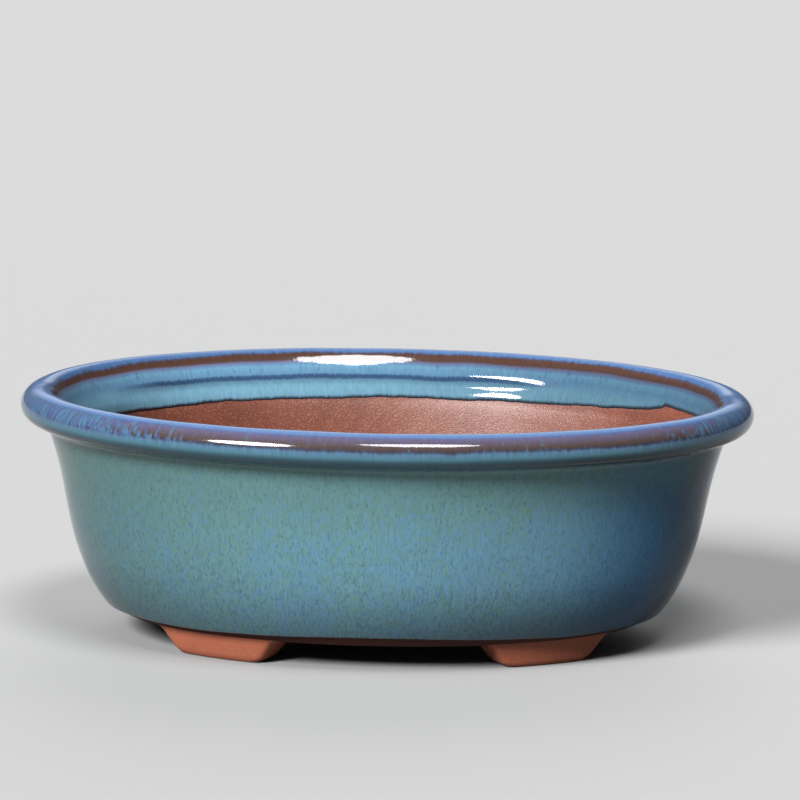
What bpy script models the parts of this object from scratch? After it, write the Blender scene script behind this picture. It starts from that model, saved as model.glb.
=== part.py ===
"""Oval glazed bonsai pot: a rolled rim, a wall, a floor slab and four feet of clay, under a coat of glaze.

The origin is on the ground, under the middle of the pot. +X runs along its length and +Z is up.
Its sections are drawn as (inset, height). The inset of a point is how far it lies inside the
outermost line of the rim, measured square to that line, so one section fits all the way round.
"""

import math

import bmesh
import bpy
from mathutils import Vector
from mathutils.geometry import interpolate_bezier

# Driving dimensions, in metres
LENGTH = 0.210
WIDTH = 0.164
HEIGHT = 0.071
OVAL_FULLNESS = 0.0085  # how far the oval swells past a plain ellipse at its four shoulders, as a ratio
OVAL_STEPS = 60

GAP = 0.0003  # between pieces that touch
GLAZE_THICKNESS = 0.0005

RIM_CROWN_INSET = 0.0059  # the highest line of the rim
RIM_OUTER_HEIGHT = 0.0660  # the height of the rim's outermost line
RIM_JOINT_HEIGHT = 0.0574  # where the rim is luted onto the wall

# Places on the sections, as (inset, height), and the handles of the curves between them
INNER_GLAZE_LINE = Vector((0.0141, 0.0572))
STEP_FOOT = Vector((0.0129, 0.0614))  # of the small step between the rim and the wall, inside the pot
STEP_TOP = Vector((0.0122, 0.0645))
RIM_SLOPE_HANDLES = ((0.0112, 0.06646), (0.0096, 0.0689))  # up the inside of the rim
RIM_SLOPE_TOP = (0.0085, 0.07005)
CROWN_HANDLES = ((0.0080, 0.0706), (0.0073, HEIGHT))
RIM_ROLL_HANDLES = ((0, 0.0638), (0.0015, 0.0618))  # round the rim's outside to its underside
RIM_UNDERSIDE = (0.0047, 0.0610)
COVE_HANDLES = ((0.0073, 0.0604), (0.0078, 0.0593))
WALL_TOP = (0.0088, 0.0562)
OUTER_WALL_HANDLES = ((0.0145, 0.0391), (0.0130, 0.0237))
OUTER_GLAZE_LINE = Vector((0.0244, 0.0106))
INNER_WALL_HANDLES = ((0.0190, 0.0490), (0.0183, 0.0149))

FLOOR_TOP = 0.0132
FLOOR_LEDGE = 0.0106  # the height at which the wall stands on the floor's edge
FLOOR_UNDERSIDE = 0.0071
FLOOR_LEDGE_INSET = 0.0249
FLOOR_UNDERSIDE_INSET = 0.0284
WALL_TOE_INSET = 0.0343  # where the inside of the wall meets the floor

DRAIN_HOLE_RADIUS = 0.0080
DRAIN_HOLE_X = 0.030
WIRE_HOLE_RADIUS = 0.0018
WIRE_HOLE_X = 0.030
WIRE_HOLE_Y = 0.0200

FOOT_ANGLE = math.radians(55)  # where on the oval the middle of a foot lies
FOOT_OUTER_INSETS = (0.0297, 0.0284)  # at the sole and at the top
FOOT_INNER_INSETS = (0.0385, 0.0405)
FOOT_SOLE_LENGTH = 0.0264
FOOT_INNER_FLARE = 0.0060  # how much further the foot reaches at its top, towards the pot's middle
FOOT_OUTER_FLARE = 0.0078  # and towards the pot's end
FOOT_CORNER_RADIUS = 0.0016
FOOT_CORNER_STEPS = 3

OVERSHOOT = 0.003  # how far a cutter runs past the face that it cuts
WELD_DISTANCE = 0.00001
SHARP_ANGLE = math.radians(40)

GLAZE_BLUE = (0.075, 0.24, 0.31, 1)
WALL_CLAY = (0.24, 0.11, 0.075, 1)
RIM_CLAY = (0.27, 0.13, 0.09, 1)
FLOOR_CLAY = (0.20, 0.075, 0.045, 1)
FOOT_CLAY = (0.36, 0.13, 0.065, 1)
GLAZE_ROUGHNESS = 0.15
CLAY_ROUGHNESS = 0.85


def clear_scene():
    for leftover in list(bpy.data.objects):
        bpy.data.objects.remove(leftover)


def new_collection(name):
    collection = bpy.data.collections.new(name)
    bpy.context.scene.collection.children.link(collection)
    return collection


def add_object(name, data, collection):
    added = bpy.data.objects.new(name, data)
    collection.objects.link(added)
    return added


def finish_piece(piece, colour, roughness):
    """Gives a piece its own material, and smooth shading up to its sharp edges."""
    material = bpy.data.materials.new(piece.name)
    material.use_nodes = True
    shader = material.node_tree.nodes["Principled BSDF"]
    shader.inputs["Base Color"].default_value = colour
    shader.inputs["Roughness"].default_value = roughness
    shader.inputs["Metallic"].default_value = 0.0
    piece.data.materials.clear()
    piece.data.materials.append(material)
    piece.data.shade_smooth()
    piece.data.set_sharp_from_angle(angle=SHARP_ANGLE)


# The oval


def oval_edge(angle):
    """A point of the rim's outermost line. The angle is the ellipse's own, from +X towards +Y."""
    swell = 1 + OVAL_FULLNESS * math.sin(2 * angle) ** 2
    return Vector((LENGTH / 2 * math.cos(angle) * swell, WIDTH / 2 * math.sin(angle) * swell))


def oval_inward(angle):
    """The direction square to the oval, towards the inside."""
    half_step = math.pi / 1000
    along = oval_edge(angle + half_step) - oval_edge(angle - half_step)
    return Vector((-along.y, along.x)).normalized()


def oval_point(angle, inset):
    return oval_edge(angle) + oval_inward(angle) * inset


def oval_angles():
    return [math.tau * step / OVAL_STEPS for step in range(OVAL_STEPS)]


# Sections


def bezier(start, start_handle, end_handle, end, steps):
    """The points of a cubic curve in a section, without its end."""
    knots = [Vector((*point, 0)) for point in (start, start_handle, end_handle, end)]
    return [point.to_2d() for point in interpolate_bezier(*knots, steps + 1)[:-1]]


def oval_arc(centre, radii, first_angle, last_angle, steps):
    """The points of an elliptical arc in a section, without its end."""
    points = []
    for step in range(steps):
        angle = first_angle + (last_angle - first_angle) * step / steps
        x = centre[0] + radii[0] * math.cos(angle)
        y = centre[1] + radii[1] * math.sin(angle)
        points.append(Vector((x, y)))
    return points


def straight(start, end, steps):
    """The points of a straight stretch in a section, without its end."""
    return [start.lerp(end, step / steps) for step in range(steps)]


def glazed_outline():
    """The glazed surface, from the glaze line inside, over the rim, and down to the one outside."""
    crown = (RIM_CROWN_INSET, HEIGHT)
    outermost = (0, RIM_OUTER_HEIGHT)
    outer_radii = (RIM_CROWN_INSET, HEIGHT - RIM_OUTER_HEIGHT)
    return [
        *straight(INNER_GLAZE_LINE, STEP_FOOT, 3),
        *straight(STEP_FOOT, STEP_TOP, 2),
        *bezier(STEP_TOP, *RIM_SLOPE_HANDLES, RIM_SLOPE_TOP, 4),
        *bezier(RIM_SLOPE_TOP, *CROWN_HANDLES, crown, 2),
        *oval_arc((RIM_CROWN_INSET, RIM_OUTER_HEIGHT), outer_radii, math.pi / 2, math.pi, 5),
        *bezier(outermost, *RIM_ROLL_HANDLES, RIM_UNDERSIDE, 3),
        *bezier(RIM_UNDERSIDE, *COVE_HANDLES, WALL_TOP, 4),
        *bezier(WALL_TOP, *OUTER_WALL_HANDLES, OUTER_GLAZE_LINE, 7),
        OUTER_GLAZE_LINE,
    ]


def pushed_in(outline, depth):
    """The outline moved into the clay, square to itself."""
    moved = []
    for index, point in enumerate(outline):
        before = outline[max(index - 1, 0)]
        after = outline[min(index + 1, len(outline) - 1)]
        along = (after - before).normalized()
        moved.append(point + Vector((-along.y, along.x)) * depth)
    return moved


def bare_inner_face():
    """The unglazed inside of the wall, from just below the glaze line down to the floor."""
    top = INNER_GLAZE_LINE - Vector((0, 2 * GAP))
    toe = Vector((WALL_TOE_INSET, FLOOR_TOP))
    return [*bezier(top, *INNER_WALL_HANDLES, toe, 7), toe]


def clockwise(section):
    """The section in the order that makes its swept faces point outwards."""
    pairs = zip(section, section[1:] + section[:1])
    doubled_area = sum(point.x * after.y - after.x * point.y for point, after in pairs)
    return section[::-1] if doubled_area > 0 else section


def closed_curve(name, points, fill_mode, collection):
    curve = bpy.data.curves.new(name, "CURVE")
    curve.dimensions = "2D"
    curve.fill_mode = fill_mode
    spline = curve.splines.new("POLY")
    spline.points.add(len(points) - 1)
    for spline_point, point in zip(spline.points, points):
        spline_point.co = (point.x, point.y, 0, 1)
    spline.use_cyclic_u = True
    return add_object(name, curve, collection)


def made_mesh(curve_object, name, collection):
    """Replaces a curve object by the closed mesh that it makes."""
    graph = bpy.context.evaluated_depsgraph_get()
    mesh = bpy.data.meshes.new_from_object(curve_object.evaluated_get(graph))
    mesh.name = name
    solid = bmesh.new()
    solid.from_mesh(mesh)
    bmesh.ops.remove_doubles(solid, verts=solid.verts, dist=WELD_DISTANCE)
    solid.to_mesh(mesh)
    solid.free()
    made = add_object(name, mesh, collection)
    made.matrix_world = curve_object.matrix_world
    bpy.data.objects.remove(curve_object)
    return made


def sweep(name, section, collection):
    """Carries a closed section round the oval, as one mesh."""
    path = closed_curve(name + "_path", [oval_edge(angle) for angle in oval_angles()], "NONE", collection)
    profile = closed_curve(name + "_profile", clockwise(section), "NONE", collection)
    path.data.bevel_mode = "OBJECT"
    path.data.bevel_object = profile
    swept = made_mesh(path, name, collection)
    bpy.data.objects.remove(profile)
    return swept


# Booleans


def as_cutter(cutter):
    cutter.hide_render = True
    cutter.display_type = "WIRE"
    return cutter


def boolean(piece, cutter, operation):
    modifier = piece.modifiers.new(cutter.name, "BOOLEAN")
    modifier.operation = operation
    modifier.object = cutter
    modifier.solver = "EXACT"


def oval_slab(name, lower, upper, collection):
    """A solid oval disc between two (inset, height) lines, made from a cone."""
    solid = bmesh.new()
    bmesh.ops.create_cone(solid, cap_ends=True, segments=OVAL_STEPS, radius1=1, radius2=1, depth=2)
    for vertex in solid.verts:
        inset, height = lower if vertex.co.z < 0 else upper
        place = oval_point(math.atan2(vertex.co.y, vertex.co.x), inset)
        vertex.co = (place.x, place.y, height)
    mesh = bpy.data.meshes.new(name)
    solid.to_mesh(mesh)
    solid.free()
    return add_object(name, mesh, collection)


def drill(name, radius, x, y, collection):
    """A cutter for a hole straight through the floor."""
    solid = bmesh.new()
    sides = 24 if radius > WIRE_HOLE_RADIUS else 12
    depth = FLOOR_TOP - FLOOR_UNDERSIDE + 2 * OVERSHOOT
    bmesh.ops.create_cone(solid, cap_ends=True, segments=sides, radius1=radius, radius2=radius, depth=depth)
    mesh = bpy.data.meshes.new(name)
    solid.to_mesh(mesh)
    solid.free()
    cutter = add_object(name, mesh, collection)
    cutter.location = (x, y, (FLOOR_TOP + FLOOR_UNDERSIDE) / 2)
    return as_cutter(cutter)


# The pieces


def make_glaze_coat(parts):
    outside = glazed_outline()
    inside = pushed_in(outside, GLAZE_THICKNESS)
    finish_piece(sweep("glaze_coat", outside + inside[::-1], parts), GLAZE_BLUE, GLAZE_ROUGHNESS)


def make_rim(parts):
    clay = pushed_in(glazed_outline(), GLAZE_THICKNESS + GAP)
    above_joint = [point for point in clay if point.y > RIM_JOINT_HEIGHT + 2 * GAP]
    joint = RIM_JOINT_HEIGHT + GAP
    inner_end = Vector((above_joint[0].x, joint))
    outer_end = Vector((above_joint[-1].x, joint))
    finish_piece(sweep("rim", [inner_end, *above_joint, outer_end], parts), RIM_CLAY, CLAY_ROUGHNESS)


def make_wall(parts):
    clay = pushed_in(glazed_outline(), GLAZE_THICKNESS + GAP)
    rim_points = [index for index, point in enumerate(clay) if point.y > RIM_JOINT_HEIGHT]
    inner_top = Vector((clay[rim_points[0]].x, RIM_JOINT_HEIGHT))
    outer_face = clay[rim_points[-1] + 1 :]
    outer_top = Vector((outer_face[0].x, RIM_JOINT_HEIGHT))
    inner_face = bare_inner_face()
    glaze_step = Vector((clay[0].x, inner_face[0].y))
    underside = FLOOR_LEDGE + GAP / 2
    outer_foot = Vector((OUTER_GLAZE_LINE.x + 3 * GAP, underside))
    inner_foot = Vector((WALL_TOE_INSET, underside))
    section = [outer_top, *outer_face, outer_foot, inner_foot, *inner_face[::-1], glaze_step, inner_top]
    finish_piece(sweep("wall", section, parts), WALL_CLAY, CLAY_ROUGHNESS)


def make_floor(parts, cutters):
    """The slab: its tapered edge carries the wall, and its middle rises inside the wall's toe."""
    ledge = FLOOR_LEDGE - GAP / 2
    lower = (FLOOR_UNDERSIDE_INSET, FLOOR_UNDERSIDE)
    slab = oval_slab("floor", lower, (FLOOR_LEDGE_INSET, ledge), parts)
    middle_inset = WALL_TOE_INSET + GAP
    inside_slab = (middle_inset, (FLOOR_UNDERSIDE + ledge) / 2)
    middle = oval_slab("floor_middle", inside_slab, (middle_inset, FLOOR_TOP), cutters)
    boolean(slab, as_cutter(middle), "UNION")
    for x in (-DRAIN_HOLE_X, DRAIN_HOLE_X):
        boolean(slab, drill("drain_hole", DRAIN_HOLE_RADIUS, x, 0, cutters), "DIFFERENCE")
    for x in (-WIRE_HOLE_X, WIRE_HOLE_X):
        for y in (-WIRE_HOLE_Y, WIRE_HOLE_Y):
            boolean(slab, drill("wire_hole", WIRE_HOLE_RADIUS, x, y, cutters), "DIFFERENCE")
    finish_piece(slab, FLOOR_CLAY, CLAY_ROUGHNESS)


def foot_outline(top):
    """The foot seen from outside, with +X towards the pot's end: a sole between two sloping ends."""
    height = FLOOR_UNDERSIDE - GAP
    points = []
    for side, flare in ((-1, FOOT_INNER_FLARE), (1, FOOT_OUTER_FLARE)):
        slope = math.atan2(height, flare)
        arc_start = FOOT_SOLE_LENGTH / 2 - FOOT_CORNER_RADIUS * math.tan(slope / 2)
        end = []
        for step in range(FOOT_CORNER_STEPS + 1):
            turn = slope * step / FOOT_CORNER_STEPS
            along = arc_start + FOOT_CORNER_RADIUS * math.sin(turn)
            end.append(Vector((side * along, FOOT_CORNER_RADIUS * (1 - math.cos(turn)))))
        end.append(Vector((side * (FOOT_SOLE_LENGTH / 2 + top * flare / height), top)))
        points += end[::-1] if side < 0 else end
    return points


def make_feet(parts, cutters):
    """Each foot is a stretch of one ring under the floor, picked out by a block with the foot's outline."""
    top = FLOOR_UNDERSIDE - GAP
    section = [
        Vector((FOOT_OUTER_INSETS[0], -OVERSHOOT)),
        Vector((FOOT_OUTER_INSETS[0], 0)),
        Vector((FOOT_OUTER_INSETS[1], top)),
        Vector((FOOT_INNER_INSETS[1], top)),
        Vector((FOOT_INNER_INSETS[0], 0)),
        Vector((FOOT_INNER_INSETS[0], -OVERSHOOT)),
    ]
    middle = oval_point(FOOT_ANGLE, (FOOT_OUTER_INSETS[0] + FOOT_INNER_INSETS[0]) / 2)
    inward = oval_inward(FOOT_ANGLE)
    for depth_name, y_side in (("front", -1), ("back", 1)):
        for side_name, x_side in (("left", -1), ("right", 1)):
            name = f"foot_{depth_name}_{side_name}"
            foot = sweep(name, section, parts)
            block = closed_curve(name + "_outline", foot_outline(top + OVERSHOOT), "BOTH", cutters)
            block.data.extrude = FOOT_INNER_INSETS[0] - FOOT_OUTER_INSETS[0]
            towards_end = Vector((-inward.y * x_side, inward.x * y_side))
            heading = math.atan2(towards_end.y, towards_end.x)
            block.location = (middle.x * x_side, middle.y * y_side, 0)
            block.rotation_euler = (math.pi / 2, 0, heading)
            bpy.context.view_layer.update()
            boolean(foot, as_cutter(made_mesh(block, name + "_block", cutters)), "INTERSECT")
            finish_piece(foot, FOOT_CLAY, CLAY_ROUGHNESS)


clear_scene()
parts = new_collection("bonsai_pot")
cutters = new_collection("cutters")
cutters.hide_render = True
make_floor(parts, cutters)
make_wall(parts)
make_rim(parts)
make_glaze_coat(parts)
make_feet(parts, cutters)
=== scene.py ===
"""Looks of an oval glazed bonsai pot on four feet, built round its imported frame.

Sections are drawn in millimetres as (inset, height). An inset is measured square to the outermost
line of the rim, towards the inside, so one section fits all the way round the pot. The run of a
place on the glaze is how far it lies from the rim's crown along the section, in millimetres:
positive down the outside, and negative down the inside.
"""

import math

import bmesh
import bpy
import numpy as np
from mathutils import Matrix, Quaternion, Vector, noise
from mathutils.geometry import interpolate_bezier


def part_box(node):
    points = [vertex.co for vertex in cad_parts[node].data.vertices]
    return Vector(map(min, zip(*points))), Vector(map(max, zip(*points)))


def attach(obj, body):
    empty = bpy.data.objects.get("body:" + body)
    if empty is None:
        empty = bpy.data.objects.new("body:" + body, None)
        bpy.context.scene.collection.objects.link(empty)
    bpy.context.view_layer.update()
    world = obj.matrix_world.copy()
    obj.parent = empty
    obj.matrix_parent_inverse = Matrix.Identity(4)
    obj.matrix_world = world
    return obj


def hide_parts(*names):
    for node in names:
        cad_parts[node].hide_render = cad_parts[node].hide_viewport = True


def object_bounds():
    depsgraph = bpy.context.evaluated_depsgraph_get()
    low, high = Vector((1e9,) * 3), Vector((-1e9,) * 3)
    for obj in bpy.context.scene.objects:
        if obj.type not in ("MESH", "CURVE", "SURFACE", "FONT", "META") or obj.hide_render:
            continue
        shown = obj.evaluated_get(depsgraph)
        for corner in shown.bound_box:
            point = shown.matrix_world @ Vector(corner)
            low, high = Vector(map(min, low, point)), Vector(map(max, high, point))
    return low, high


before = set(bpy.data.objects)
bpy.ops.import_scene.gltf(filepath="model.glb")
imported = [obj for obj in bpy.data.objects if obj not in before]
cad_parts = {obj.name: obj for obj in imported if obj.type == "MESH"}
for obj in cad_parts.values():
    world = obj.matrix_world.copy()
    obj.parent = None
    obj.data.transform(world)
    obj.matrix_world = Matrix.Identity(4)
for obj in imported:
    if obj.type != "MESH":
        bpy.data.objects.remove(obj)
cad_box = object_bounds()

MM = 0.001

# The oval, from the frame
HALF_LENGTH = (cad_box[1].x - cad_box[0].x) / 2 / MM
HALF_WIDTH = (cad_box[1].y - cad_box[0].y) / 2 / MM
HEIGHT = cad_box[1].z / MM
OVAL_FULLNESS = 0.0085  # how far it swells past a plain ellipse at its four shoulders
OVAL_STEPS = 384
SHARP_ANGLE = math.radians(50)

# Places on the section of the glazed surface, and the handles of the curves between them
CROWN = (5.9, HEIGHT)
OUTERMOST = (0, 66.0)
UNDER_ROLL = ((0, 63.8), (1.5, 61.8))
RIM_UNDERSIDE = (4.7, 61.0)
COVE = ((7.3, 60.4), (7.8, 59.3))
WALL_TOP = (8.8, 56.2)
OUTER_WALL = ((14.5, 39.1), (13.0, 23.7))
OUTER_END = (24.3, 10.75)
OUTER_BEAD = ((24.75, 10.2), (25.1, 10.35))
OUTER_TUCK = (25.2, 10.9)

# How far the inside of the rim leans from upright, in degrees, at each run. Partway down it has a step,
# which fades out towards both ends of the pot.
STEPPED_LEANS = (
    (0, 90), (0.9, 76), (1.8, 61), (2.9, 43), (5.0, 36), (7.3, 30), (9.2, 28), (10.2, 12), (11.0, 3),
    (11.5, 2), (12.1, 8), (12.9, 22), (13.3, 27), (13.9, 29.5), (14.8, 27), (16.0, 18), (17.5, 13),
    (20.0, 13),
)
PLAIN_LEANS = (
    (0, 90), (0.9, 76), (1.8, 61), (2.9, 43), (5.0, 36), (7.3, 30), (9.2, 29), (12.0, 31), (13.9, 30),
    (15.0, 22), (16.0, 12), (17.5, 6), (20.0, 5),
)
# How much of the step there is, by degrees round the oval from its right end
STEP_SHARES = ((55, 0), (59, 0.18), (66, 0.75), (71, 1), (135, 1), (150, 0))
# Where the glaze ends inside: the run there, by the same degrees
INNER_ENDS = (
    (0, 12.1), (29.2, 12.1), (29.9, 13.1), (37, 14.7), (46, 15.9), (60, 16.8), (80, 17.2), (90, 16.9),
    (98, 17.4), (120, 17.5), (135, 18.2), (180, 18.3),
)
LONGEST_INNER_RUN = 19.5
INNER_STEPS = 90
BEAD_LENGTH = 1.3  # the rounded edge of the glaze inside, along the run
BEAD_DEPTH = 0.6
# How far the glaze hangs below its section, by distance from the pot's middle, and the share of it by height
GLAZE_HANG = ((10, 0.3), (60, 1.5))
HANG_SHARES = ((10, 1), (22, 0))

GLAZE_DEPTH = 0.5
HIDDEN_STRIDE = 3  # the hidden face of the glaze has one point for each three on its outer face
COVERED_RUNS = (10, 16.9)  # where the wall's clay lies under the glaze inside
COVERED_STEPS = 35
COVERED_CLAY_DEPTH = GLAZE_DEPTH - 0.05  # a little into the glaze, so that no gap shows at its edge
OUTER_CLAY_DEPTH = GLAZE_DEPTH + 0.1
OUTER_CLAY_STRIDE = 4
OUTER_CLAY_TOP = 60.0
INNER_WALL_START = (14.0, 57.0)
INNER_WALL = ((17.4, 50.0), (18.3, 14.9))
FLOOR_TOP = 13.2
WALL_TOE = 34.3
WALL_BASE_INSET = OUTER_END[0] + 1.2
FLOOR_LEDGE = 10.45
OUTER_CLAY_FOOT = FLOOR_LEDGE + 1
FLOOR_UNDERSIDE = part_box("floor")[0].z / MM
FLOOR_LEDGE_INSET = 24.9
FLOOR_UNDERSIDE_INSET = 28.4
FLOOR_SIDE = ((FLOOR_LEDGE_INSET + 1.5, 9.3), (FLOOR_UNDERSIDE_INSET - 0.6, FLOOR_UNDERSIDE + 0.2))
FLOOR_EDGE_RADIUS = 0.4
FLOOR_TOP_EDGE = WALL_TOE - 1  # the top of the floor ends under the wall
FLAT_FLOOR_INSET = WALL_TOE + 4  # from here inwards the floor is filled in between its holes
INSIDE_CLAY_DEPTH = 1.0  # how far below its top the floor has the colour of the inside

# Unevenness, as (how far it reaches either way, the size of its features, its seed): of the glaze's edge
# inside, of its surface, of the clay, and of the bands of colour
INNER_EDGE_WAVES = ((0.30, 14, 1), (0.25, 3, 2))
GLAZE_WAVES = ((0.10, 22, 3), (0.025, 7, 4))
CLAY_WAVES = ((0.16, 25, 5), (0.06, 7, 6))
BAND_WAVES = ((0.35, 14, 7),)

DRAIN_HOLE_RADIUS = 8.0
DRAIN_HOLE_X = 30.0
WIRE_HOLE_RADIUS = 1.8
WIRE_HOLE_Y = 20.0
DRAIN_HOLE_SIDES = 64
WIRE_HOLE_SIDES = 24
HOLE_EDGE_RADIUS = 0.8
HOLE_EDGE_STEPS = 5

FOOT_ANGLE = math.radians(55)  # where on the oval the middle of a foot lies
FOOT_HALF_SWEEP = 0.5  # a stretch of the oval, in radians, that is longer than half a foot
FOOT_OUTER_INSETS = (29.7, 28.4)  # at the sole and at the top
FOOT_INNER_INSETS = (38.5, 40.5)
FOOT_SOLE_LENGTH = 26.4
FOOT_INNER_FLARE = 4.6
FOOT_OUTER_FLARE = 6.8
FOOT_CORNER_RADIUS = 1.8
FOOT_SOLE_ROUNDING = (2.4, 1.2, 2.0)  # along the foot, across it, and upwards
FOOT_FILLET = 1.4
FILLET_SHARE = 0.98  # the fillet stops just short of lying flat
FOOT_INTO_FLOOR = 0.6  # so that no gap shows above it
FOOT_SWEEP_STEPS = 200
FOOT_SIDE_STEPS = 16
FOOT_CORNER_STEPS = 4
FOOT_LEVELS = 16
FOOT_SOLE_LEVELS = 8

# The view: the camera aims at the middle of the rim's top
VIEW_ELEVATION = math.radians(9.2)
VIEW_ROLL = math.radians(1.035)
VIEW_DISTANCE = 6.5 * cad_box[1].x * 2
VIEW_LENS = 214.2  # its focal length
VIEW_SHIFT = (0.0153, -0.0140)
VIEW_END = 50  # in metres

# The studio
BACKDROP_STRENGTH = 1.2
SIDE_STRENGTHS = (0.16, 0.06)  # of the rest of it, at the left and at the right
STUDIO_WHITE = (0.93, 0.96, 1, 1)
GROUND_GREY = (0.175, 0.175, 0.175, 1)
GROUND_ROUGHNESS = 0.9
GROUND_HALF_SIZE = 8  # in metres
GROUND_SQUARES = 8  # along each side


# Sections


def value_at(place, table):
    """The values at places between the steps of a table of (place, value)."""
    return np.interp(place, *zip(*table))


def curve(start, handles, end, steps):
    """The points of a cubic curve in a section, without its end."""
    knots = [Vector((*point, 0)) for point in (start, *handles, end)]
    return [(point.x, point.y) for point in interpolate_bezier(*knots, steps + 1)[:-1]]


def quarter_roll(steps):
    """The rim's outer quarter, from the crown to the outermost line, without its end."""
    turns = [math.pi / 2 * (1 + step / steps) for step in range(steps)]
    reach, rise = CROWN[0], HEIGHT - OUTERMOST[1]
    return [(CROWN[0] + reach * math.cos(turn), OUTERMOST[1] + rise * math.sin(turn)) for turn in turns]


def outer_glaze_section():
    return [
        *quarter_roll(steps=24),
        *curve(OUTERMOST, UNDER_ROLL, RIM_UNDERSIDE, steps=14),
        *curve(RIM_UNDERSIDE, COVE, WALL_TOP, steps=14),
        *curve(WALL_TOP, OUTER_WALL, OUTER_END, steps=72),
        *curve(OUTER_END, OUTER_BEAD, OUTER_TUCK, steps=6),
        OUTER_TUCK,
    ]


def runs_along(section):
    """The distance of each point along a section from its first point."""
    return np.concatenate([[0], np.cumsum(np.linalg.norm(np.diff(section, axis=0), axis=1))])


def leaning(leans, run):
    """The insets and heights at a run down the inside of the rim."""
    step = 0.05
    fine = np.arange(0, LONGEST_INNER_RUN, step)
    lean = np.radians(value_at(fine, leans))
    inset = CROWN[0] + np.cumsum(np.sin(lean)) * step
    height = HEIGHT - np.cumsum(np.cos(lean)) * step
    return np.stack([np.interp(run, fine, inset), np.interp(run, fine, height)], axis=-1)


def square_to(sections):
    """The unit direction out of the clay at each point of sections that run from inside to outside."""
    along = np.gradient(sections, axis=0)
    along /= np.linalg.norm(along, axis=-1, keepdims=True)
    return np.stack([along[..., 1], -along[..., 0]], axis=-1)


# The oval


def oval_edge(angle):
    swell = 1 + OVAL_FULLNESS * np.sin(2 * angle) ** 2
    return np.stack([HALF_LENGTH * np.cos(angle) * swell, HALF_WIDTH * np.sin(angle) * swell], axis=-1)


def oval_inward(angle):
    """The direction square to the oval, towards the inside."""
    half_step = 1e-4
    along = oval_edge(angle + half_step) - oval_edge(angle - half_step)
    inward = np.stack([-along[..., 1], along[..., 0]], axis=-1)
    return inward / np.linalg.norm(inward, axis=-1, keepdims=True)


ANGLES = np.arange(OVAL_STEPS) * math.tau / OVAL_STEPS
FROM_RIGHT_END = np.degrees(np.arccos(np.cos(ANGLES)))
EDGE = oval_edge(ANGLES)
INWARD = oval_inward(ANGLES)


def placed(sections):
    """The points in space of sections given as an array of (section point, step round the oval)."""
    flat = EDGE + INWARD * sections[..., :1]
    return np.concatenate([flat, sections[..., 1:]], axis=-1)


def all_round(section):
    """The same section at each step round the oval."""
    return np.repeat(np.array(section)[:, None], OVAL_STEPS, axis=1)


def inside_of_rim(run):
    """The glazed surface inside at runs given as an array of (section point, step round the oval)."""
    step_share = value_at(FROM_RIGHT_END, STEP_SHARES)[:, None]
    return leaning(STEPPED_LEANS, run) * step_share + leaning(PLAIN_LEANS, run) * (1 - step_share)


# Meshes


def ring_faces(rings, count, closed=False):
    """The faces between rings of count points each. If closed, the last ring is joined to the first."""
    faces = []
    for ring in range(rings if closed else rings - 1):
        start, after = ring * count, (ring + 1) % rings * count
        for step in range(count):
            beside = (step + 1) % count
            faces.append((start + step, start + beside, after + beside, after + step))
    return faces


def add_object(name, data):
    made = bpy.data.objects.new(name, data)
    bpy.context.scene.collection.objects.link(made)
    return made


def add_piece(name, points, faces, material, *replaced):
    """A closed piece of the pot, from points in millimetres. It stands for the CAD nodes that it replaces."""
    mesh = bpy.data.meshes.new(name)
    mesh.from_pydata((np.array(points).reshape(-1, 3) * MM).tolist(), [], faces)
    solid = bmesh.new()
    solid.from_mesh(mesh)
    bmesh.ops.recalc_face_normals(solid, faces=solid.faces)
    solid.to_mesh(mesh)
    solid.free()
    mesh.materials.append(material)
    mesh.shade_smooth()
    mesh.set_sharp_from_angle(angle=SHARP_ANGLE)
    piece = add_object(name, mesh)
    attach(piece, "root")
    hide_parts(*replaced)
    return piece


def add_attribute(piece, name, values):
    values = np.asarray(values, np.float32)
    kind = "FLOAT_VECTOR" if values.shape[-1] == 3 else "FLOAT"
    attribute = piece.data.attributes.new(name, kind, "POINT")
    attribute.data.foreach_set("vector" if kind == "FLOAT_VECTOR" else "value", values.ravel())


def lumps(places, size, seed):
    """Smooth noise from -1 to 1 at each place, with features of the given size."""
    offset = Vector((seed * 17.3, seed * 5.1, seed * 9.7))
    flat = places.reshape(-1, 3) / size
    values = [noise.noise(Vector(place) + offset) for place in flat.tolist()]
    return np.array(values).reshape(places.shape[:-1])


def waves_at(places, waves):
    """The unevenness at each place, from waves that are each (reach, size, seed)."""
    return sum(reach * lumps(places, size, seed) for reach, size, seed in waves)


# Materials


def srgb(red, green, blue):
    """A colour given in 0 to 255 as the shaders take it."""
    values = [channel / 255 for channel in (red, green, blue)]
    return (*[v / 12.92 if v <= 0.04045 else ((v + 0.055) / 1.055) ** 2.4 for v in values], 1)


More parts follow.
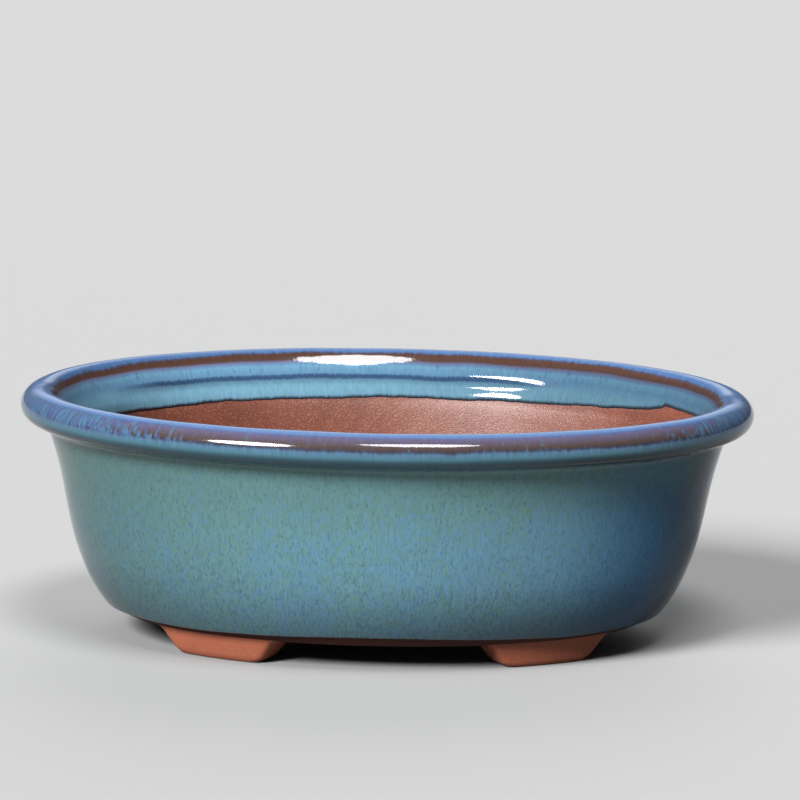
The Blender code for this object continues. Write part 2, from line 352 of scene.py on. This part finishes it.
class Nodes:
    """The node tree of a material or the world, with a short method for each kind of node."""

    def __init__(self, owner, shader="Principled BSDF"):
        owner.use_nodes = True
        self.tree = owner.node_tree
        self.shader = self.tree.nodes[shader]

    def shade(self, inputs):
        """Sets inputs of the shader itself."""
        for socket, value in inputs.items():
            self.set(self.shader.inputs[socket], value)

    def add(self, kind, inputs=(), **settings):
        node = self.tree.nodes.new(kind)
        for name, value in settings.items():
            setattr(node, name, value)
        for socket, value in dict(inputs).items():
            self.set(node.inputs[socket], value)
        return node

    def set(self, socket, value):
        if isinstance(value, bpy.types.NodeSocket):
            self.tree.links.new(value, socket)
        else:
            socket.default_value = value

    def attribute(self, name, output):
        return self.add("ShaderNodeAttribute", attribute_name=name).outputs[output]

    def math(self, operation, first, second=0.0, third=0.0):
        inputs = {0: first, 1: second, 2: third}
        return self.add("ShaderNodeMath", inputs, operation=operation).outputs[0]

    def product(self, first, second):
        return self.math("MULTIPLY", first, second)

    def shifted(self, value, noise_value, reach):
        """The value, moved up and down by a noise that averages 0.5."""
        return self.math("MULTIPLY_ADD", self.math("SUBTRACT", noise_value, 0.5), reach, value)

    def stretched(self, vector, scale):
        inputs = {0: vector, 1: scale}
        return self.add("ShaderNodeVectorMath", inputs, operation="MULTIPLY").outputs[0]

    def noise(self, vector, scale, detail=2.0, roughness=0.5):
        inputs = {"Vector": vector, "Scale": scale, "Detail": detail, "Roughness": roughness}
        return self.add("ShaderNodeTexNoise", inputs).outputs["Fac"]

    def fade(self, value, low, high, to_low=0.0, to_high=1.0):
        """A smooth step of the value, from low to high."""
        inputs = {"Value": value, "From Min": low, "From Max": high, "To Min": to_low, "To Max": to_high}
        return self.add("ShaderNodeMapRange", inputs, interpolation_type="SMOOTHSTEP").outputs[0]

    def band(self, value, rise, fall):
        """1 between a rise and a fall, which are each (low, high), and 0 outside them."""
        return self.product(self.fade(value, *rise), self.fade(value, *fall, 1.0, 0.0))

    def mix(self, share, first, second):
        """One colour over another. A mix node's colours are its sockets 6 and 7, and 2 on the way out."""
        inputs = {"Factor": share, 6: first, 7: second}
        return self.add("ShaderNodeMix", inputs, data_type="RGBA").outputs[2]

    def ramp(self, value, stops):
        """Colours along a value. The stops are (value, colour)."""
        low, high = stops[0][0], stops[-1][0]
        share = self.add("ShaderNodeMapRange", {"Value": value, "From Min": low, "From Max": high}).outputs[0]
        node = self.add("ShaderNodeValToRGB", {"Fac": share})
        elements = node.color_ramp.elements
        while len(elements) < len(stops):
            elements.new(1)
        for element, (place, colour) in zip(elements, stops):
            element.position = (place - low) / (high - low)
            element.color = colour
        return node.outputs["Color"]

    def bump(self, height, distance, normal=None):
        inputs = {"Height": height, "Distance": distance}
        if normal is not None:
            inputs["Normal"] = normal
        return self.add("ShaderNodeBump", inputs).outputs[0]


# The glaze's colour along the run, on the rim and just below it. Its dark stops from 10.8 to 14.5, where the
# rim's underside meets the wall, are pooled glaze and partly painted shadow of the rim.
RIM_COLOURS = (
    (-20.0, srgb(69, 93, 110)),
    (-16.5, srgb(66, 93, 108)),
    (-13.0, srgb(65, 94, 108)),
    (-9.4, srgb(57, 84, 105)),
    (-7.2, srgb(63, 93, 111)),
    (-6.4, srgb(59, 78, 101)),
    (-5.7, srgb(61, 61, 79)),
    (-5.1, srgb(50, 36, 33)),
    (-3.4, srgb(53, 34, 26)),
    (-2.8, srgb(46, 41, 50)),
    (-2.2, srgb(47, 69, 101)),
    (2.6, srgb(45, 71, 107)),
    (3.3, srgb(53, 58, 85)),
    (4.0, srgb(60, 56, 74)),
    (6.8, srgb(50, 40, 34)),
    (7.6, srgb(39, 38, 50)),
    (8.4, srgb(51, 75, 94)),
    (9.6, srgb(51, 82, 95)),
    # pooled glaze and painted shadow of the rim, from here to 14.5
    (10.8, srgb(38, 62, 71)),
    (12.2, srgb(31, 52, 62)),
    (14.5, srgb(37, 62, 72)),
    (16.5, srgb(62, 91, 97)),
    (20.0, srgb(73, 101, 103)),
)
CREASE_BLUE = srgb(26, 43, 68)
END_BLUE = srgb(46, 52, 84)
END_TEAL = srgb(46, 72, 88)
EDGE_DARK = srgb(19, 19, 28)
BODY_GREEN = srgb(68, 97, 96)
BODY_BLUE = srgb(62, 93, 110)
RIGHT_BLUE = srgb(46, 86, 118)
FLECK_BLUE = srgb(33, 58, 86)

# The glaze's noises: each is its features' width as a share of their length along the run, its scale per
# millimetre, its detail and its roughness.
STREAKS = (0.15, 1.5, 4, 0.6)
MOTTLE = (0.6, 0.75, 3, 0.6)
CLOUDS = (0.7, 0.06, 2, 0.5)
FLECKS = (0.45, 1.5, 3, 0.65)

CREASE_RUN = -10.6  # a dark line in the step
# Two bands, each as the runs where it starts and where it ends: one turns blue at the ends of the pot, and
# one has dark streaks.
BLUER_BAND = ((2.4, 3.6), (7.4, 9.0))
STREAKED_BAND = ((-11.0, -8.0), (-6.4, -5.8))
# How far to the right the body turns bluer, and how far to the right it shines less
RIGHT_BLUE_FADE = (0.45 * HALF_LENGTH, 0.85 * HALF_LENGTH)
LESS_SHINE_FADE = (0.35 * HALF_LENGTH, 0.8 * HALF_LENGTH)
GLAZE_ROUGHNESS = 0.07
GLAZE_IOR = 1.5
GLAZE_SHINE = 0.25
GLAZE_SKIN_DEPTHS = (0.00003, 0.000003)  # the waves in its surface, coarse and fine, in metres

# Three tables by how far to the right a place is, from the left end of the pot (-1) to its right end (1):
# how much it has of the blue of the rim's ends, and the painted light and shade of the glaze inside and
# outside.
END_SHARES = ((-1, 1), (-0.85, 0.9), (-0.45, 0), (0.7, 0), (0.95, 1))
INNER_PAINTED_LIGHT_AND_SHADE = ((-1, 1.2), (-0.5, 1.3), (0, 1.05), (0.3, 0.85), (0.6, 0.65), (1, 0.62))
OUTER_PAINTED_SHADE = (
    (-1, 0.54), (-0.75, 0.72), (-0.35, 0.96), (0, 1.06), (0.55, 1), (0.76, 0.84), (0.83, 0.7), (0.9, 0.42),
    (1, 0.25),
)
# Painted shade in darker bands above the feet and under the rim, where the rim's shadow falls: a share by the
# run, and how dark it is to the right
PAINTED_SHADE_BANDS = (
    (((54, 0), (74, 1)), ((-0.1, 0.3), (0.5, 0.66))),
    (((9, 0), (12, 1), (16, 1), (22, 0)), ((0.3, 0), (0.6, 0.55))),
)
# How much of the painted light and shade each run takes
PAINTED_SHADE_SHARES = ((-6, 1), (-4, 0), (8, 0), (12, 1))  # by the run: the crown keeps its own colours
INNER_BAND_AT_ENDS = ((-12, -12), (-5.9, -5.7), (-3.8, -2.8), (0, 0))  # a run, and the one it is coloured as

# Sizes in the clay, as scales per metre, and the depths of its bumps in metres
CLAY_CLOUDS = 45.0
CLAY_GRAIN = 2200.0
CLAY_PITS = 1100.0
CLAY_LUMP_DEPTH = 0.0006
CLAY_GRAIN_DEPTH = 0.00012


def glaze_material():
    """The glaze. Its places are in millimetres: X and Y on the rim's outermost line, and then the run."""
    material = bpy.data.materials.new("blue_glaze")
    nodes = Nodes(material)
    flow = nodes.attribute("flow", "Vector")
    run = nodes.attribute("run", "Fac")
    end = nodes.attribute("end", "Fac")
    to_right = nodes.add("ShaderNodeSeparateXYZ", {0: flow}).outputs["X"]

    def drawn_out(share, scale, detail, roughness):
        return nodes.noise(nodes.stretched(flow, (1, 1, share)), scale, detail, roughness)

    streaks, mottle, clouds = drawn_out(*STREAKS), drawn_out(*MOTTLE), drawn_out(*CLOUDS)

    # The rim: its colours along the run, the dark line in the step, the blue at the ends, and the streaks
    rim_run = nodes.shifted(nodes.shifted(run, streaks, 0.9), mottle, 0.7)
    on_rim = nodes.ramp(rim_run, RIM_COLOURS)
    from_crease = nodes.math("ABSOLUTE", nodes.math("SUBTRACT", nodes.shifted(run, streaks, 1.4), CREASE_RUN))
    crease = nodes.product(nodes.fade(from_crease, 0.3, 1.1, 0.85, 0.0), nodes.attribute("step", "Fac"))
    on_rim = nodes.mix(crease, on_rim, CREASE_BLUE)
    blue_share = nodes.fade(nodes.shifted(end, mottle, 2.8), 0.2, 0.8)
    blue_share = nodes.product(nodes.band(rim_run, *BLUER_BAND), blue_share)
    on_rim = nodes.mix(blue_share, on_rim, nodes.mix(nodes.fade(streaks, 0.4, 0.6), END_BLUE, END_TEAL))
    inner_streaks = nodes.fade(streaks, 0.5, 0.72, 0.0, 0.55)
    inner_streaks = nodes.product(inner_streaks, nodes.band(rim_run, *STREAKED_BAND))
    on_rim = nodes.mix(inner_streaks, on_rim, CREASE_BLUE)

    # The body: green at its top, and bluer lower down and to the right
    blueness = nodes.fade(run, 18.0, 46.0, 0.05, 0.55)
    blueness = nodes.math("MULTIPLY_ADD", to_right, 0.3 / HALF_LENGTH, blueness)
    blueness = nodes.shifted(nodes.shifted(blueness, clouds, 1.1), mottle, 2.6)
    on_body = nodes.mix(nodes.fade(blueness, 0.0, 1.0), BODY_GREEN, BODY_BLUE)
    rightness = nodes.fade(to_right, *RIGHT_BLUE_FADE, 0.0, 0.8)
    rightness = nodes.product(rightness, nodes.fade(run, 20.0, 38.0, 0.35, 1.0))
    on_body = nodes.mix(rightness, on_body, RIGHT_BLUE)
    colour = nodes.mix(nodes.fade(run, 16.0, 19.0), on_rim, on_body)

    # Dark flecks, which are denser lower down
    clear_share = nodes.shifted(nodes.fade(run, 20.0, 72.0, 0.54, 0.46), clouds, 0.15)
    fleck_share = nodes.fade(nodes.math("SUBTRACT", drawn_out(*FLECKS), clear_share), 0.0, 0.18, 0.0, 0.5)
    colour = nodes.mix(nodes.product(fleck_share, nodes.fade(run, 8.0, 24.0)), colour, FLECK_BLUE)

    # How light it is: a random tone, times the painted light and shade read from its points; and its dark
    # edges
    tone_and_painted_shade = nodes.fade(mottle, 0.3, 0.7, 0.93, 1.07)
    tone_and_painted_shade = nodes.math("ADD", tone_and_painted_shade, nodes.fade(streaks, 0.3, 0.7, -0.07, 0.07))
    tone_and_painted_shade = nodes.product(tone_and_painted_shade, nodes.attribute("tone_and_painted_shade", "Fac"))
    colour = nodes.add("ShaderNodeHueSaturation", {"Value": tone_and_painted_shade, "Color": colour}).outputs[0]
    near_end = nodes.fade(nodes.shifted(nodes.attribute("to_end", "Fac"), streaks, 0.9), 0.3, 1.4, 0.9, 0.0)
    colour = nodes.mix(near_end, colour, EDGE_DARK)

    less_shine = nodes.fade(to_right, *LESS_SHINE_FADE, 0.0, 0.2)
    less_shine = nodes.product(less_shine, nodes.fade(run, 9.0, 13.0))
    coarse, fine = GLAZE_SKIN_DEPTHS
    skin = nodes.bump(nodes.noise(flow, 0.25), coarse)
    nodes.shade({
        "Base Color": colour,
        "Roughness": GLAZE_ROUGHNESS,
        "IOR": GLAZE_IOR,
        "Specular IOR Level": nodes.math("SUBTRACT", GLAZE_SHINE, less_shine),
        "Normal": nodes.bump(nodes.noise(flow, 1.3), fine, skin),
    })
    return material


def clay_material(name, colour, dark_colour, sand_colour, roughness, shine):
    material = bpy.data.materials.new(name)
    nodes = Nodes(material)
    place = nodes.add("ShaderNodeTexCoord").outputs["Object"]
    clouds = nodes.noise(place, CLAY_CLOUDS, 3)
    mixed = nodes.mix(nodes.fade(clouds, 0.35, 0.8, 0.0, 0.5), colour, dark_colour)
    grain = nodes.noise(place, CLAY_GRAIN, 3, 0.65)
    mixed = nodes.mix(nodes.fade(grain, 0.50, 0.70, 0.0, 0.45), mixed, sand_colour)
    pits = nodes.noise(place, CLAY_PITS, 2, 0.6)
    mixed = nodes.mix(nodes.fade(pits, 0.60, 0.72, 0.0, 0.5), mixed, dark_colour)
    nodes.shade({
        "Base Color": mixed,
        "Roughness": roughness,
        "Specular IOR Level": shine,
        "Normal": nodes.bump(grain, CLAY_GRAIN_DEPTH, nodes.bump(clouds, CLAY_LUMP_DEPTH)),
    })
    return material


# The pieces


def colour_values(flow, run, to_end):
    """What the glaze's material reads at each of its points, by name."""
    across = EDGE[:, 0] / HALF_LENGTH
    end = value_at(across, END_SHARES) + 0 * run
    step = value_at(FROM_RIGHT_END, STEP_SHARES) + 0 * run
    uneven_run = run + end * (value_at(run, INNER_BAND_AT_ENDS) - run) * (run < 0)
    uneven_run += waves_at(flow, BAND_WAVES)
    # Painted shade outside: darker towards both ends, with painted shadow under the rim and painted shade
    # above the feet. Inside: painted light to the left and painted shade to the right.
    outer_painted_shade = value_at(across, OUTER_PAINTED_SHADE)
    for shares, depths in PAINTED_SHADE_BANDS:
        outer_painted_shade = outer_painted_shade * (1 - value_at(run, shares) * value_at(across, depths))
    tone_and_painted_shade = np.where(run < 0, value_at(across, INNER_PAINTED_LIGHT_AND_SHADE), outer_painted_shade)
    tone_and_painted_shade = 1 + (tone_and_painted_shade - 1) * value_at(run, PAINTED_SHADE_SHARES)
    single = {"run": uneven_run, "end": end, "step": step, "to_end": to_end, "tone_and_painted_shade": tone_and_painted_shade}
    return {"flow": flow, **{name: values[..., None] for name, values in single.items()}}


def make_glaze(material):
    edge = np.column_stack([EDGE, np.zeros(OVAL_STEPS)])
    inner_end = value_at(FROM_RIGHT_END, INNER_ENDS) + waves_at(edge, INNER_EDGE_WAVES)
    inner_run = inner_end * np.linspace(1, 0, INNER_STEPS + 1)[:-1, None]
    outer = all_round(outer_glaze_section())
    outer[..., 1] -= value_at(outer[..., 1], HANG_SHARES) * value_at(np.abs(EDGE[:, 0]), GLAZE_HANG)
    outer_run = runs_along(outer[:, 0])[:, None] + np.zeros(OVAL_STEPS)
    sections = np.concatenate([inside_of_rim(inner_run), outer])
    run = np.concatenate([-inner_run, outer_run])
    out = square_to(sections)

    flow = np.stack([EDGE[:, 0] + 0 * run, EDGE[:, 1] + 0 * run, run], axis=-1)
    to_end = np.concatenate([inner_end - inner_run, outer_run[-1] - outer_run])
    rounding = np.clip(1 - (inner_end - inner_run) / BEAD_LENGTH, 0, 1)
    raised = waves_at(flow, GLAZE_WAVES)
    raised[: len(rounding)] -= BEAD_DEPTH * (1 - np.sqrt(1 - rounding**2))
    sections += out * raised[..., None]

    back = slice(None, None, -HIDDEN_STRIDE)
    hidden = (sections - out * GLAZE_DEPTH)[back]
    points = np.concatenate([placed(sections), placed(hidden)])
    faces = ring_faces(len(points), OVAL_STEPS, closed=True)
    piece = add_piece("glaze", points, faces, material, "glaze_coat")
    for name, values in colour_values(flow, run, to_end).items():
        add_attribute(piece, name, np.concatenate([values, values[back]]))


def make_wall(material):
    down_to_bare = np.linspace(*COVERED_RUNS, COVERED_STEPS + 1)[:, None] + np.zeros(OVAL_STEPS)
    covered = inside_of_rim(down_to_bare)
    covered += square_to(covered) * COVERED_CLAY_DEPTH
    toe = (WALL_TOE, FLOOR_TOP)
    bare = all_round([*curve(INNER_WALL_START, INNER_WALL, toe, steps=48), toe])
    bare[..., 0] += (covered[-1, :, 0] - bare[0, :, 0]) * np.linspace(1, 0, len(bare))[:, None] ** 2
    inner = np.concatenate([covered, bare[1:]])[::-1]
    outside = all_round(outer_glaze_section())
    outer = (outside - square_to(outside) * OUTER_CLAY_DEPTH)[::OUTER_CLAY_STRIDE]
    kept = (outer[:, 0, 1] < OUTER_CLAY_TOP) & (outer[:, 0, 1] > OUTER_CLAY_FOOT)
    base = all_round([(WALL_TOE, FLOOR_LEDGE), (WALL_BASE_INSET, FLOOR_LEDGE)])
    sections = np.concatenate([base[:1], inner, outer[kept], base[1:]])
    uneven = waves_at(placed(sections), CLAY_WAVES)
    uneven[:2] = 0  # the joint with the floor stays even
    uneven[len(inner) :] = 0  # and so does the outside, under the glaze
    sections[..., 0] += uneven
    points = placed(sections)
    faces = ring_faces(len(points), OVAL_STEPS, closed=True)
    piece = add_piece("pot_wall", points, faces, material, "wall")


def hole_rings(x, y, radius, sides):
    """The rings of points down through a hole in the floor, with rounded edges."""
    edge = min(HOLE_EDGE_RADIUS, radius / 2)
    turns = [math.pi / 2 * step / HOLE_EDGE_STEPS for step in range(HOLE_EDGE_STEPS + 1)]
    upper = [(radius + edge * (1 - math.sin(t)), FLOOR_TOP - edge * (1 - math.cos(t))) for t in turns]
    lower = [(wide, FLOOR_TOP + FLOOR_UNDERSIDE - height) for wide, height in upper[::-1]]
    around = [math.tau * step / sides for step in range(sides)]
    return [
        [(x + wide * math.cos(a), y + wide * math.sin(a), height) for a in around]
        for wide, height in upper + lower
    ]


def make_floor(material, inside_material):
    """The slab: rounded rings round its edge and its holes, and flat faces filled in between them."""
    edge = FLOOR_EDGE_RADIUS
    ledge, underside = FLOOR_LEDGE_INSET + edge, FLOOR_UNDERSIDE_INSET + edge
    side_top = (ledge, FLOOR_LEDGE - edge)
    section = [
        (FLAT_FLOOR_INSET, FLOOR_TOP),
        (FLOOR_TOP_EDGE, FLOOR_TOP),
        (FLOOR_TOP_EDGE, FLOOR_LEDGE),
        *curve((ledge, FLOOR_LEDGE), ((FLOOR_LEDGE_INSET, FLOOR_LEDGE),) * 2, side_top, steps=4),
        *curve(side_top, FLOOR_SIDE, (underside, FLOOR_UNDERSIDE), steps=10),
        (underside, FLOOR_UNDERSIDE),
        (FLAT_FLOOR_INSET, FLOOR_UNDERSIDE),
    ]
    solid = bmesh.new()
    rims = []

    def add_rings(rings):
        made = [[solid.verts.new(Vector(point) * MM) for point in ring] for ring in rings]
        for ring, after in zip(made, made[1:]):
            for step in range(len(ring)):
                beside = (step + 1) % len(ring)
                solid.faces.new((ring[step], ring[beside], after[beside], after[step]))
        rims.append((made[0], made[-1]))

    add_rings(placed(all_round(section)).tolist())
    for x in (-DRAIN_HOLE_X, DRAIN_HOLE_X):
        add_rings(hole_rings(x, 0, DRAIN_HOLE_RADIUS, DRAIN_HOLE_SIDES))
        for y in (-WIRE_HOLE_Y, WIRE_HOLE_Y):
            add_rings(hole_rings(x, y, WIRE_HOLE_RADIUS, WIRE_HOLE_SIDES))
    for side in (0, 1):
        edges = []
        for rim in rims:
            ring = rim[side]
            edges += [solid.edges.get((a, b)) for a, b in zip(ring, ring[1:] + ring[:1])]
        bmesh.ops.triangle_fill(solid, edges=edges, use_beauty=True)
    solid.verts.index_update()
    points = [tuple(vertex.co / MM) for vertex in solid.verts]
    faces = [[vertex.index for vertex in face.verts] for face in solid.faces]
    solid.free()
    piece = add_piece("pot_floor", points, faces, material, "floor")
    piece.data.materials.append(inside_material)
    for face in piece.data.polygons:
        face.material_index = int(face.center.z > (FLOOR_TOP - INSIDE_CLAY_DEPTH) * MM)


def foot_ring(height, pull):
    """One level of a foot: a rounded outline, drawn in by a pull along the oval and one across it."""
    share = height / FLOOR_UNDERSIDE
    into_fillet = min(max((height - FLOOR_UNDERSIDE + FOOT_FILLET) / FOOT_FILLET, 0), FILLET_SHARE)
    spread = FOOT_FILLET * (1 - math.sqrt(1 - into_fillet**2)) - pull[0]
    far = FOOT_SOLE_LENGTH / 2 + FOOT_OUTER_FLARE * share + spread
    near = -FOOT_SOLE_LENGTH / 2 - FOOT_INNER_FLARE * share - spread
    outer = FOOT_OUTER_INSETS[0] + (FOOT_OUTER_INSETS[1] - FOOT_OUTER_INSETS[0]) * share + pull[1]
    inner = FOOT_INNER_INSETS[0] + (FOOT_INNER_INSETS[1] - FOOT_INNER_INSETS[0]) * share - pull[1]
    radius = FOOT_CORNER_RADIUS
    corners = (
        (far, outer, -1, 1, 0), (far, inner, -1, -1, 1), (near, inner, 1, -1, 2), (near, outer, 1, 1, 3),
    )
    ring = []
    for along, inset, along_side, inset_side, quarter in corners:
        for step in range(FOOT_CORNER_STEPS + 1):
            turn = math.pi / 2 * (quarter - 1 + step / FOOT_CORNER_STEPS)
            ring.append((along + along_side * radius + radius * math.cos(turn),
                         inset + inset_side * radius + radius * math.sin(turn)))
        if quarter in (1, 3):
            ends = (far - radius, near + radius) if quarter == 1 else (near + radius, far - radius)
            steps = FOOT_SIDE_STEPS
            ring += [(ends[0] + (ends[1] - ends[0]) * step / steps, inset) for step in range(1, steps)]
    return ring, height


def make_foot(name, x_side, y_side, material):
    """A foot follows the oval under the floor's edge. Its outline is wider at the top than at the sole."""
    sweep = (FOOT_ANGLE - FOOT_HALF_SWEEP, FOOT_ANGLE + FOOT_HALF_SWEEP)
    around = np.linspace(*sweep, FOOT_SWEEP_STEPS + 1)
    inward = oval_inward(np.array(FOOT_ANGLE))
    to_end = np.array([-inward[1], inward[0]])
    middle = oval_edge(np.array(FOOT_ANGLE)) + inward * (FOOT_OUTER_INSETS[0] + FOOT_INNER_INSETS[0]) / 2

    def spot(along, inset):
        curve_points = oval_edge(around) + oval_inward(around) * inset - middle
        order = np.argsort(curve_points @ to_end)
        depth = np.interp(along, (curve_points @ to_end)[order], (curve_points @ inward)[order])
        return middle + to_end * along + inward * depth

    along_round, across_round, up_round = FOOT_SOLE_ROUNDING
    top = FLOOR_UNDERSIDE + FOOT_INTO_FLOOR
    heights = [top + (up_round - top) * step / FOOT_LEVELS for step in range(FOOT_LEVELS + 1)]
    levels = [foot_ring(height, (0, 0)) for height in heights]
    for step in range(1, FOOT_SOLE_LEVELS + 1):
        turn = math.pi / 2 * step / FOOT_SOLE_LEVELS
        drawn_in = 1 - math.cos(turn)
        pull = (along_round * drawn_in, across_round * drawn_in)
        levels.append(foot_ring(up_round * (1 - math.sin(turn)), pull))
    points = []
    for ring, height in levels:
        for along, inset in ring:
            place = spot(along, inset)
            points.append((place[0] * x_side, place[1] * y_side, height))
    count = len(levels[0][0])
    faces = [tuple(range(count)), tuple(range(len(points) - count, len(points)))]
    faces += ring_faces(len(levels), count)
    piece = add_piece("pot_" + name, points, faces, material, name)


# The stage


def direction(azimuth, elevation):
    """A direction from the pot. Azimuth 0 is towards the camera and 90 is +X, both in degrees."""
    a, e = math.radians(azimuth), math.radians(elevation)
    return Vector((math.sin(a) * math.cos(e), -math.cos(a) * math.cos(e), math.sin(e)))


def add_camera():
    camera = add_object("camera", bpy.data.cameras.new("camera"))
    back = Vector((0, -math.cos(VIEW_ELEVATION), math.sin(VIEW_ELEVATION)))
    camera.location = Vector((0, 0, HEIGHT * MM)) + back * VIEW_DISTANCE
    camera.rotation_mode = "QUATERNION"
    camera.rotation_quaternion = (-back).to_track_quat("-Z", "Y") @ Quaternion((0, 0, 1), VIEW_ROLL)
    camera.data.lens = VIEW_LENS
    camera.data.shift_x, camera.data.shift_y = VIEW_SHIFT
    camera.data.clip_end = VIEW_END
    bpy.context.scene.camera = camera


def add_soft_light(name, azimuth, elevation, width, strength, glossy=True):
    """A distant round soft light, so wide in degrees, that lights the floor evenly."""
    light = bpy.data.lights.new(name, "SUN")
    light.angle = math.radians(width)
    light.energy = strength
    lamp = add_object(name, light)
    lamp.visible_glossy = glossy
    lamp.rotation_mode = "QUATERNION"
    lamp.rotation_quaternion = direction(azimuth, elevation).to_track_quat("Z", "Y")


def add_world():
    """A pale studio: brighter above and behind the pot, and darker to its right."""
    world = bpy.data.worlds.new("studio")
    bpy.context.scene.world = world
    nodes = Nodes(world, "Background")
    place = nodes.add("ShaderNodeTexCoord").outputs["Generated"]
    x, y, z = nodes.add("ShaderNodeSeparateXYZ", {0: place}).outputs
    to_side = nodes.math("ABSOLUTE", x)
    backdrop = nodes.product(nodes.fade(y, 0.2, 0.6), nodes.fade(to_side, 0.08, 0.38, BACKDROP_STRENGTH, 0.0))
    backdrop = nodes.product(nodes.fade(z, 0.13, 0.24), backdrop)
    all_round_it = nodes.fade(x, -0.2, 0.8, *SIDE_STRENGTHS)
    nodes.shade({"Strength": nodes.math("ADD", backdrop, all_round_it), "Color": STUDIO_WHITE})


def add_ground():
    """A plain pale floor under the pot, wide enough to fill the view."""
    solid = bmesh.new()
    squares = {"x_segments": GROUND_SQUARES, "y_segments": GROUND_SQUARES}
    bmesh.ops.create_grid(solid, size=GROUND_HALF_SIZE, **squares)
    mesh = bpy.data.meshes.new("ground")
    solid.to_mesh(mesh)
    solid.free()
    material = bpy.data.materials.new("ground")
    Nodes(material).shade({"Base Color": GROUND_GREY, "Roughness": GROUND_ROUGHNESS})
    mesh.materials.append(material)
    ground = add_object("ground", mesh)


bpy.context.scene.view_settings.view_transform = "Standard"
add_camera()
add_world()
add_ground()
add_soft_light("key_light", azimuth=-37, elevation=34, width=20, strength=10.5)
add_soft_light("top_light", azimuth=13, elevation=63, width=20, strength=4.0)
add_soft_light("back_fill", azimuth=165, elevation=38, width=60, strength=2.0, glossy=False)

glaze = glaze_material()
inside_clay = clay_material(
    "bare_clay", srgb(84, 43, 32), srgb(50, 20, 14), srgb(134, 100, 80), roughness=0.42, shine=0.38
)
foot_clay = clay_material(
    "foot_clay", srgb(112, 58, 38), srgb(86, 40, 25), srgb(126, 80, 58), roughness=0.7, shine=0.3
)
# The slanted strip at the base and the floor's underside: the same clay made much darker than the feet's, as
# painted shade of faces that look down.
shaded_base_clay = clay_material(
    "shaded_base_clay", srgb(48, 20, 14), srgb(36, 15, 10), srgb(62, 32, 22), roughness=0.8, shine=0.15
)

make_glaze(glaze)
make_wall(inside_clay)
make_floor(shaded_base_clay, inside_clay)
for depth_name, y_side in (("front", -1), ("back", 1)):
    for side_name, x_side in (("left", -1), ("right", 1)):
        make_foot(f"foot_{depth_name}_{side_name}", x_side, y_side, foot_clay)

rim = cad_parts["rim"]
rim.data.materials.clear()
rim.data.materials.append(inside_clay)
